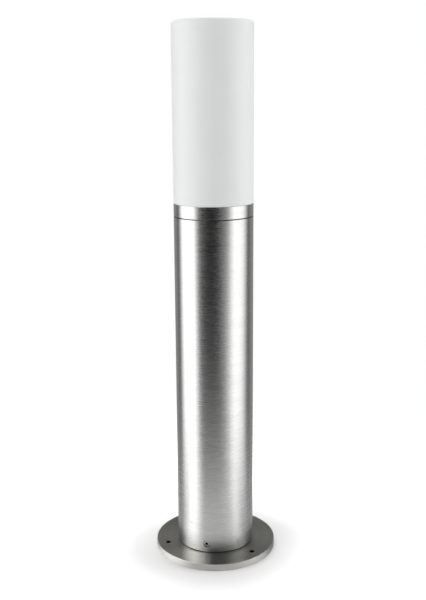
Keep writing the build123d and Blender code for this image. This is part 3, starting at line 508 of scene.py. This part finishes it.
def rub_corners(tree, shader, width, patch, colour, roughness):
    """Polishes a material's corners to another colour and gloss, in patches."""
    rub = add_group(tree, edge_rub, rub_width=width, patch_size=patch)["Rub"]
    cover(tree, rub, colour, shader.inputs["Base Color"])
    cover(tree, rub, roughness, shader.inputs["Roughness"])


def cut_thread(tree, shader, along, start, end, pitch, depth):
    """Rolls a thread into a material along one measure of the piece."""
    thread = add_group(tree, rolled_thread, **{"from": start, "to": end, "pitch": pitch})
    connect(tree, (along, thread["Thread"].node.inputs["Along"]))
    raise_surface(tree, thread["Thread"], shader, depth)
    oily = ramp(tree, thread["Thread"], 0.0, 0.5, to_high=0.35)
    cover(tree, oily, (0.20, 0.19, 0.18), shader.inputs["Base Color"])


socket_steel, tree, shader = skinned(
    "socket_steel", dark=(0.50, 0.50, 0.49), light=(0.62, 0.62, 0.61), metallic=1.0,
    roughness=0.30, spread=0.06, grain=0.0002, cloud=0.004, depth=0.000004,
)
rub_corners(tree, shader, width=0.0002, patch=0.002, colour=(0.75, 0.75, 0.74), roughness=0.2)
parts = whereabouts(tree)[2]
screw_low, screw_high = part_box("collar_screws")
head_part = 0.0025
cut_thread(tree, shader, parts["Z"], screw_low.z + head_part, screw_high.z, pitch=0.0008, depth=0.0003)
dress(socket_steel, "collar_screws")

# ---- Cable gland -----------------------------------------------------------------------------------------
# A black polyamide body and nut from a spark-eroded mould, a rubber bush that the nut squeezes on to the
# supply cable, and a washer punched from red vulcanised fibre, with the paper's fibres still in sight.


def black_nylon(name):
    """Black polyamide with the fine texture of a spark-eroded mould."""
    material, tree, shader = skinned(
        name, dark=(0.030, 0.030, 0.033), light=(0.052, 0.052, 0.056), metallic=0.0,
        roughness=0.46, spread=0.07, grain=0.00025, cloud=0.006, depth=0.00002,
    )
    rub_corners(tree, shader, width=0.0004, patch=0.003, colour=(0.10, 0.10, 0.105), roughness=0.30)
    return material, tree, shader


dress(black_nylon("gland_nylon")[0], "gland_nut")

threaded_nylon, tree, shader = black_nylon("threaded_nylon")
body_low, body_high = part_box("gland_body")
height_up = whereabouts(tree)[2]["Z"]
cut_thread(tree, shader, height_up, body_low.z, body_high.z, pitch=0.0015, depth=0.0005)
dress(threaded_nylon, "gland_body")

black_rubber, tree, shader = skinned(
    "black_rubber", dark=(0.012, 0.012, 0.013), light=(0.030, 0.030, 0.030), metallic=0.0,
    roughness=0.62, spread=0.10, grain=0.00035, cloud=0.005, depth=0.00003,
)
bloom = noise(tree, whereabouts(tree)[0], scale=260.0, detail=5.0)
cover(tree, ramp(tree, bloom, 0.55, 0.75, to_high=0.5), (0.07, 0.07, 0.07), shader.inputs["Base Color"])
dress(black_rubber, "gland_seal", "base_gasket", "head_o_ring", "diffuser_gasket")

red_fibre, tree, shader = skinned(
    "red_fibre", dark=(0.22, 0.045, 0.03), light=(0.36, 0.085, 0.05), metallic=0.0,
    roughness=0.58, spread=0.08, grain=0.0003, cloud=0.004, depth=0.00002,
)
place = whereabouts(tree)[0]
fibres = noise(tree, place, scale=900.0, detail=3.0, stretch=(0.12, 1.3, 1.0), turn=(0, 0, 0.5))
cover(tree, ramp(tree, fibres, 0.58, 0.70, to_high=0.6), (0.52, 0.20, 0.13), shader.inputs["Base Color"])
dress(red_fibre, "gland_washer")

# ---- Terminal bracket and earth connection ---------------------------------------------------------------
# A bent strip and a crimped lug of zinc-plated sheet, whose crystals show as faint spangle, under pan-head
# screws plated bright. The plating has a bluish cast and has worn through on the corners.


def spangle(tree, size):
    """Zinc crystals: a flat random tone for each grain of about this size in metres."""
    crystals = tree.nodes.new("ShaderNodeTexVoronoi")
    crystals.inputs["Scale"].default_value = 1 / size
    crystals.inputs["Randomness"].default_value = 1.0
    tone = tree.nodes.new("ShaderNodeSeparateColor")
    connect(
        tree,
        (whereabouts(tree)[0], crystals.inputs["Vector"]),
        (crystals.outputs["Color"], tone.inputs["Color"]),
    )
    return tone.outputs["Red"]


def plated_zinc(name, dark, light, roughness, crystal):
    """Zinc plating with spangle of one crystal size and worn corners."""
    material, tree, shader = skinned(
        name, dark, light, metallic=1.0, roughness=roughness, spread=0.06,
        grain=0.0003, cloud=0.008, depth=0.000005,
    )
    tone = spangle(tree, crystal)
    cover(tree, ramp(tree, tone, 0.55, 1.0, to_high=0.55), (0.70, 0.73, 0.78), shader.inputs["Base Color"])
    rub_corners(tree, shader, width=0.0003, patch=0.004, colour=(0.50, 0.49, 0.47), roughness=0.26)
    marks = add_group(tree, scuffs, scuff_size=0.003, amount=0.7)["Scuffs"]
    cover(tree, marks, (0.84, 0.85, 0.87), shader.inputs["Base Color"])
    return material, tree, shader


zinc_strip = plated_zinc(
    "zinc_strip", (0.50, 0.52, 0.55), (0.62, 0.64, 0.67), roughness=0.40, crystal=0.0035
)[0]
dress(zinc_strip, "terminal_bracket", "holder_bracket")

tinned_copper = plated_zinc(
    "tinned_copper", (0.60, 0.60, 0.59), (0.74, 0.74, 0.73), roughness=0.30, crystal=0.0012
)[0]
dress(tinned_copper, "earth_lug")


def plated_screws(node, axis, start, end, pitch):
    """Bright zinc-plated screws, threaded along one axis between two levels, with grubby threads."""
    material, tree, shader = plated_zinc(
        node + "_zinc", (0.58, 0.60, 0.63), (0.72, 0.74, 0.77), roughness=0.24, crystal=0.0006
    )
    parts = whereabouts(tree)[2]
    cut_thread(tree, shader, parts[axis], start, end, pitch, depth=0.0002)
    dress(material, node)


shank_low, shank_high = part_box("terminal_bracket_screws")
strip_head = 0.0022
plated_screws("terminal_bracket_screws", "Z", shank_low.z, shank_high.z - strip_head, pitch=0.0007)
shank_low, shank_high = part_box("earth_screw")
plated_screws("earth_screw", "Y", shank_low.y + strip_head, shank_high.y, pitch=0.0007)

# ---- Terminal block --------------------------------------------------------------------------------------
# A strip of natural polyamide, a little milky at the corners, around three brass barrels. Two steel screws
# fix it to the strip, and two slotted grub screws in each barrel hold the leads.
block_nylon, tree, shader = skinned(
    "block_nylon", dark=(0.72, 0.70, 0.62), light=(0.84, 0.83, 0.77), metallic=0.0,
    roughness=0.42, spread=0.06, grain=0.0004, cloud=0.007, depth=0.00001,
)
shader.inputs["Subsurface Weight"].default_value = 0.25
shader.inputs["Subsurface Radius"].default_value = (1.0, 0.9, 0.7)
shader.inputs["Subsurface Scale"].default_value = 0.002
rub_corners(tree, shader, width=0.0004, patch=0.003, colour=(0.90, 0.90, 0.87), roughness=0.34)
dress(block_nylon, "terminal_block")

bare_brass, tree, shader = skinned(
    "bare_brass", dark=(0.60, 0.42, 0.17), light=(0.80, 0.62, 0.30), metallic=1.0,
    roughness=0.27, spread=0.06, grain=0.0003, cloud=0.003, depth=0.000004,
)
tarnish = noise(tree, whereabouts(tree)[0], scale=420.0, detail=6.0)
cover(tree, ramp(tree, tarnish, 0.52, 0.72, to_high=0.55), (0.34, 0.21, 0.10), shader.inputs["Base Color"])
marks = add_group(tree, scuffs, scuff_size=0.0015, amount=0.8)["Scuffs"]
cover(tree, marks, (0.92, 0.78, 0.45), shader.inputs["Base Color"])
rub_corners(tree, shader, width=0.0002, patch=0.002, colour=(0.92, 0.76, 0.42), roughness=0.18)
dress(bare_brass, "terminal_barrels", "holder_terminals", "holder_contact")

grub_low, grub_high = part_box("terminal_screws")
slot_part = 0.0008
plated_screws("terminal_screws", "Y", grub_low.y + slot_part, grub_high.y, pitch=0.00045)
shank_low, shank_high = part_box("block_screws")
cheese_head = 0.002
plated_screws("block_screws", "Y", shank_low.y + cheese_head, shank_high.y, pitch=0.00045)

# ---- Leads -----------------------------------------------------------------------------------------------
# Stranded copper in extruded insulation, whose die leaves faint lines along it: brown live, blue neutral and
# an earth with a yellow and a green stripe. A braided glass sleeve keeps the pair off the hot lampholder.


def insulation(name, dark, light):
    """Extruded insulation, satin, with a slow change of tone."""
    return skinned(
        name, dark, light, metallic=0.0, roughness=0.40, spread=0.07,
        grain=0.0002, cloud=0.012, depth=0.00001,
    )


dress(insulation("brown_insulation", (0.12, 0.045, 0.02), (0.20, 0.08, 0.035))[0], "live_lead")
dress(insulation("blue_insulation", (0.02, 0.10, 0.40), (0.04, 0.17, 0.55))[0], "neutral_lead")

earth_stripes, tree, shader = insulation("earth_stripes", (0.015, 0.22, 0.04), (0.03, 0.32, 0.06))
turns = whereabouts(tree)[3]
front_or_back = math_node(tree, "ABSOLUTE", turns["Y"])
cover(tree, ramp(tree, front_or_back, 0.60, 0.66), (0.80, 0.66, 0.03), shader.inputs["Base Color"])
dress(earth_stripes, "earth_lead")

glass_braid, tree, shader = skinned(
    "glass_braid", dark=(0.66, 0.62, 0.52), light=(0.80, 0.77, 0.68), metallic=0.0,
    roughness=0.70, spread=0.08, grain=0.00015, cloud=0.006, depth=0.00001,
)
shader.inputs["Sheen Weight"].default_value = 0.3
shader.inputs["Sheen Roughness"].default_value = 0.4
parts = whereabouts(tree)[2]
yarns_round = 12
yarn_pitch = 0.0011
bearing = math_node(tree, "ARCTAN2", parts["Y"], parts["X"])
bearing = math_node(tree, "MULTIPLY", bearing, yarns_round / 2)
climb = math_node(tree, "MULTIPLY", parts["Z"], math.pi / yarn_pitch)
right_hand = math_node(tree, "SINE", math_node(tree, "ADD", bearing, climb))
left_hand = math_node(tree, "SINE", math_node(tree, "SUBTRACT", bearing, climb))
yarns = math_node(tree, "MULTIPLY", right_hand, left_hand)
# Painted shade darkens the hollows between the yarns.
painted_shade_between_yarns = ramp(tree, yarns, -0.2, 0.1, to_low=0.7, to_high=0.0)
cover(tree, painted_shade_between_yarns, (0.42, 0.38, 0.30), shader.inputs["Base Color"])
raise_surface(tree, yarns, shader, depth=0.00015)
dress(glass_braid, "lead_sleeve")

# ---- Post ------------------------------------------------------------------------------------------------
# A drawn stainless tube, brushed round with a belt, that stands on the rubber gasket. The holes for the
# set screws are tapped after brushing, and painted shade darkens their walls. Painted shade also darkens the
# sawn end under the ring.

# How squarely a surface faces away from the light's upright axis: 1 on the tube, less in a hole's wall.
outward, _, result = new_group("outward", [], ["Outward"])
facing, parts = whereabouts(outward)[1:3]
level_place = outward.nodes.new("ShaderNodeCombineXYZ")
connect(outward, (parts["X"], level_place.inputs["X"]), (parts["Y"], level_place.inputs["Y"]))
away = outward.nodes.new("ShaderNodeVectorMath")
away.operation = "NORMALIZE"
square_on = outward.nodes.new("ShaderNodeVectorMath")
square_on.operation = "DOT_PRODUCT"
connect(
    outward,
    (level_place.outputs["Vector"], away.inputs[0]),
    (away.outputs["Vector"], square_on.inputs[0]),
    (facing, square_on.inputs[1]),
    (square_on.outputs["Value"], result["Outward"]),
)

post_steel, tree, shader = turned_metal(
    "post_steel", dark=(0.60, 0.60, 0.595), light=(0.65, 0.65, 0.645), roughness=0.27, spread=0.015,
    stretch=0.95, pitch=0.0003, length=1.6, depth=0.0000002,
)
screw_low, screw_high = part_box("set_screws")
parts = whereabouts(tree)[2]
hole_edge = 0.0004
above = math_node(tree, "GREATER_THAN", parts["Z"], screw_low.z - hole_edge)
below = math_node(tree, "LESS_THAN", parts["Z"], screw_high.z + hole_edge)
still_on_tube = 0.93
turned_in = math_node(tree, "LESS_THAN", add_group(tree, outward)["Outward"], still_on_tube)
in_hole_painted_shade = math_node(tree, "MULTIPLY", math_node(tree, "MULTIPLY", above, below), turned_in)
# Painted shade: the walls of the set screw holes are coloured near black.
cover(tree, in_hole_painted_shade, (0.03, 0.03, 0.032), shader.inputs["Base Color"])
cover(tree, in_hole_painted_shade, 0.5, shader.inputs["Roughness"])
post_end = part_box("post_tube")[1].z
level_slack = 0.00005
sawn_end_painted_shade = math_node(tree, "GREATER_THAN", parts["Z"], post_end - level_slack)
# Painted shade: the post's end face inside the joint gap is coloured near black.
cover(tree, sawn_end_painted_shade, (0.04, 0.04, 0.04), shader.inputs["Base Color"])
dress(post_steel, "post_tube")

screw_stainless, tree, shader = skinned(
    "screw_stainless", dark=(0.86, 0.86, 0.86), light=(0.95, 0.95, 0.95), metallic=1.0,
    roughness=0.50, spread=0.08, grain=0.0002, cloud=0.002, depth=0.000004,
)
# Painted shade: the outer rim of each set screw's face is coloured near black, as if shaded in its hole.
face_radius = -screw_low.y
face_zone, dark_zone = 0.0003, 0.0005
reach = distance_out(tree, whereabouts(tree)[2])
painted_rim_shade = ramp(tree, reach, face_radius - dark_zone, face_radius - face_zone, to_low=1.0, to_high=0.0)
cover(tree, painted_rim_shade, (0.02, 0.02, 0.021), shader.inputs["Base Color"])
dress(screw_stainless, "set_screws")

# ---- Head collar -----------------------------------------------------------------------------------------
# A stainless ring, turned from bar and brushed with the post. Its spigot is pressed into the post with an
# O-ring round it, a coarse thread inside takes the diffuser, and painted shade darkens the narrow joint gap.
ring_steel, tree, shader = turned_metal(
    "ring_steel", dark=(0.60, 0.60, 0.595), light=(0.65, 0.65, 0.645), roughness=0.27, spread=0.015,
    stretch=0.94, pitch=0.00028, length=2.0, depth=0.0000002,
)
rub_corners(tree, shader, width=0.0002, patch=0.01, colour=(0.74, 0.74, 0.73), roughness=0.3)
joint_gap = 0.0006
# Painted shade: the ring's face inside the joint gap is coloured near black.
in_gap_painted_shade = math_node(tree, "LESS_THAN", whereabouts(tree)[2]["Z"], post_end + joint_gap + level_slack)
cover(tree, in_gap_painted_shade, (0.04, 0.04, 0.04), shader.inputs["Base Color"])
dress(ring_steel, "head_collar")

# ---- Lampholder bracket ----------------------------------------------------------------------------------
# The zinc-plated disc is screwed to the collar's ledge. A hollow threaded nipple and two hexagon nuts clamp
# the lampholder to it, all zinc plated.
shank_low, shank_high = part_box("holder_bracket_screws")
disc_head = 0.0018
plated_screws("holder_bracket_screws", "Z", shank_low.z, shank_high.z - disc_head, pitch=0.0005)
stem_low, stem_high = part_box("nipple")
plated_screws("nipple", "Z", stem_low.z, stem_high.z, pitch=0.001)
nut_zinc = plated_zinc(
    "nut_zinc", (0.56, 0.58, 0.60), (0.70, 0.72, 0.75), roughness=0.27, crystal=0.001
)[0]
dress(nut_zinc, "nipple_nuts")

# ---- Lampholder ------------------------------------------------------------------------------------------
# The base, insert and outer sleeve are pressed from black thermosetting powder, glossy with faint flow
# clouds. The screw shell is drawn from brass sheet and nickel plated, and it is scored by the lamp's cap.
holder_resin, tree, shader = skinned(
    "holder_resin", dark=(0.018, 0.017, 0.016), light=(0.040, 0.038, 0.036), metallic=0.0,
    roughness=0.26, spread=0.05, grain=0.0005, cloud=0.009, depth=0.000006,
)
shader.inputs["Coat Weight"].default_value = 0.15
shader.inputs["Coat Roughness"].default_value = 0.2
flow = noise(tree, whereabouts(tree)[0], scale=180.0, detail=5.0, stretch=(1.0, 1.0, 0.25))
cover(tree, ramp(tree, flow, 0.55, 0.72, to_high=0.5), (0.075, 0.068, 0.060), shader.inputs["Base Color"])
rub_corners(tree, shader, width=0.0003, patch=0.004, colour=(0.11, 0.10, 0.09), roughness=0.2)
dress(holder_resin, "holder_base", "holder_insert", "holder_sleeve")

nickel_shell, tree, shader = turned_metal(
    "nickel_shell", dark=(0.62, 0.58, 0.52), light=(0.78, 0.75, 0.69), roughness=0.20, spread=0.06,
    stretch=0.55, pitch=0.0008, length=5.0, depth=0.000006,
)
marks = add_group(tree, scuffs, scuff_size=0.003, amount=0.9)["Scuffs"]
cover(tree, marks, (0.80, 0.66, 0.42), shader.inputs["Base Color"])
rub_corners(tree, shader, width=0.0002, patch=0.002, colour=(0.82, 0.66, 0.38), roughness=0.22)
dress(nickel_shell, "holder_shell", "lamp_cap")

# ---- Lamp ------------------------------------------------------------------------------------------------
# A lamp with a plated screw cap, a black glass insulator, a blob of solder for its contact, a white moulded
# housing, a board with nine yellow light-emitting chips and a frosted globe.
black_glass, tree, shader = skinned(
    "black_glass", dark=(0.010, 0.009, 0.012), light=(0.022, 0.020, 0.025), metallic=0.0,
    roughness=0.12, spread=0.05, grain=0.0008, cloud=0.003, depth=0.00001,
)
rub_corners(tree, shader, width=0.0002, patch=0.002, colour=(0.05, 0.05, 0.055), roughness=0.2)
dress(black_glass, "lamp_insulator")

solder_blob, tree, shader = skinned(
    "solder_blob", dark=(0.50, 0.50, 0.50), light=(0.72, 0.72, 0.70), metallic=1.0,
    roughness=0.30, spread=0.12, grain=0.0009, cloud=0.0015, depth=0.00012,
)
marks = add_group(tree, scuffs, scuff_size=0.0012, amount=0.6)["Scuffs"]
cover(tree, marks, 0.5, shader.inputs["Roughness"])
dress(solder_blob, "lamp_contact")

lamp_white, tree, shader = skinned(
    "lamp_white", dark=(0.78, 0.78, 0.755), light=(0.86, 0.86, 0.84), metallic=0.0,
    roughness=0.34, spread=0.05, grain=0.0005, cloud=0.012, depth=0.00001,
)
rub_corners(tree, shader, width=0.0004, patch=0.004, colour=(0.92, 0.92, 0.90), roughness=0.28)
dress(lamp_white, "lamp_housing")

board_mask, tree, shader = skinned(
    "board_mask", dark=(0.76, 0.77, 0.76), light=(0.84, 0.85, 0.84), metallic=0.0,
    roughness=0.38, spread=0.06, grain=0.0002, cloud=0.006, depth=0.000008,
)
board_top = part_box("lamp_board")[1].z
parts = whereabouts(tree)[2]
track_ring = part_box("lamp_chips")[1].x
off_track = math_node(tree, "ABSOLUTE", math_node(tree, "SUBTRACT", distance_out(tree, parts), track_ring))
track_inside, track_outside = 0.0007, 0.0009
track = ramp(tree, off_track, track_inside, track_outside, to_low=1.0, to_high=0.0)
cover(tree, track, (0.62, 0.64, 0.62), shader.inputs["Base Color"])
raise_surface(tree, track, shader, depth=0.00004)
face_edge = 0.0002
cut_edge = math_node(tree, "LESS_THAN", parts["Z"], board_top - face_edge)
cover(tree, cut_edge, (0.66, 0.67, 0.68), shader.inputs["Base Color"])
dress(board_mask, "lamp_board")

chip_phosphor, tree, shader = skinned(
    "chip_phosphor", dark=(0.72, 0.55, 0.06), light=(0.86, 0.70, 0.14), metallic=0.0,
    roughness=0.48, spread=0.08, grain=0.0001, cloud=0.0008, depth=0.00001,
)
half_up = 0.5
chip_side = math_node(tree, "LESS_THAN", whereabouts(tree)[3]["Z"], half_up)
cover(tree, chip_side, (0.84, 0.84, 0.80), shader.inputs["Base Color"])
dress(chip_phosphor, "lamp_chips")


def opal(name, dark, light, roughness, depth, cloud, weight):
    """Milky plastic that lets a little light wander through its wall."""
    material, tree, shader = skinned(
        name, dark, light, metallic=0.0, roughness=roughness, spread=0.04,
        grain=0.0003, cloud=cloud, depth=depth,
    )
    shader.inputs["Subsurface Weight"].default_value = weight
    shader.inputs["Subsurface Radius"].default_value = (1.0, 1.0, 1.0)
    shader.inputs["Subsurface Scale"].default_value = 0.004
    return material, tree, shader


globe_opal = opal(
    "globe_opal", (0.82, 0.82, 0.80), (0.88, 0.88, 0.86),
    roughness=0.42, depth=0.000008, cloud=0.02, weight=0.3,
)[0]
dress(globe_opal, "lamp_globe")

# ---- Diffuser --------------------------------------------------------------------------------------------
# An opal polycarbonate moulding with a satin surface. The neck's thread is moulded with it, and a flat
# rubber ring stays on the neck. Faint flow lines go up it from the gate. Its corners are lighter in patches,
# partly as rubbing and partly as a painted highlight along the lower rim.
diffuser_opal, tree, shader = opal(
    "diffuser_opal", (0.745, 0.760, 0.755), (0.760, 0.775, 0.770),
    roughness=0.50, depth=0.000006, cloud=0.03, weight=0.2,
)
wisps = noise(tree, whereabouts(tree)[0], scale=60.0, detail=4.0, stretch=(1.0, 1.0, 0.12))
cover(tree, ramp(tree, wisps, 0.50, 0.75, to_high=0.5), (0.775, 0.790, 0.785), shader.inputs["Base Color"])
# Lighter corners in patches: rubbing, and a painted highlight along the lower rim.
rub_corners(tree, shader, width=0.0003, patch=0.01, colour=(0.82, 0.83, 0.83), roughness=0.42)
dress(diffuser_opal, "diffuser")
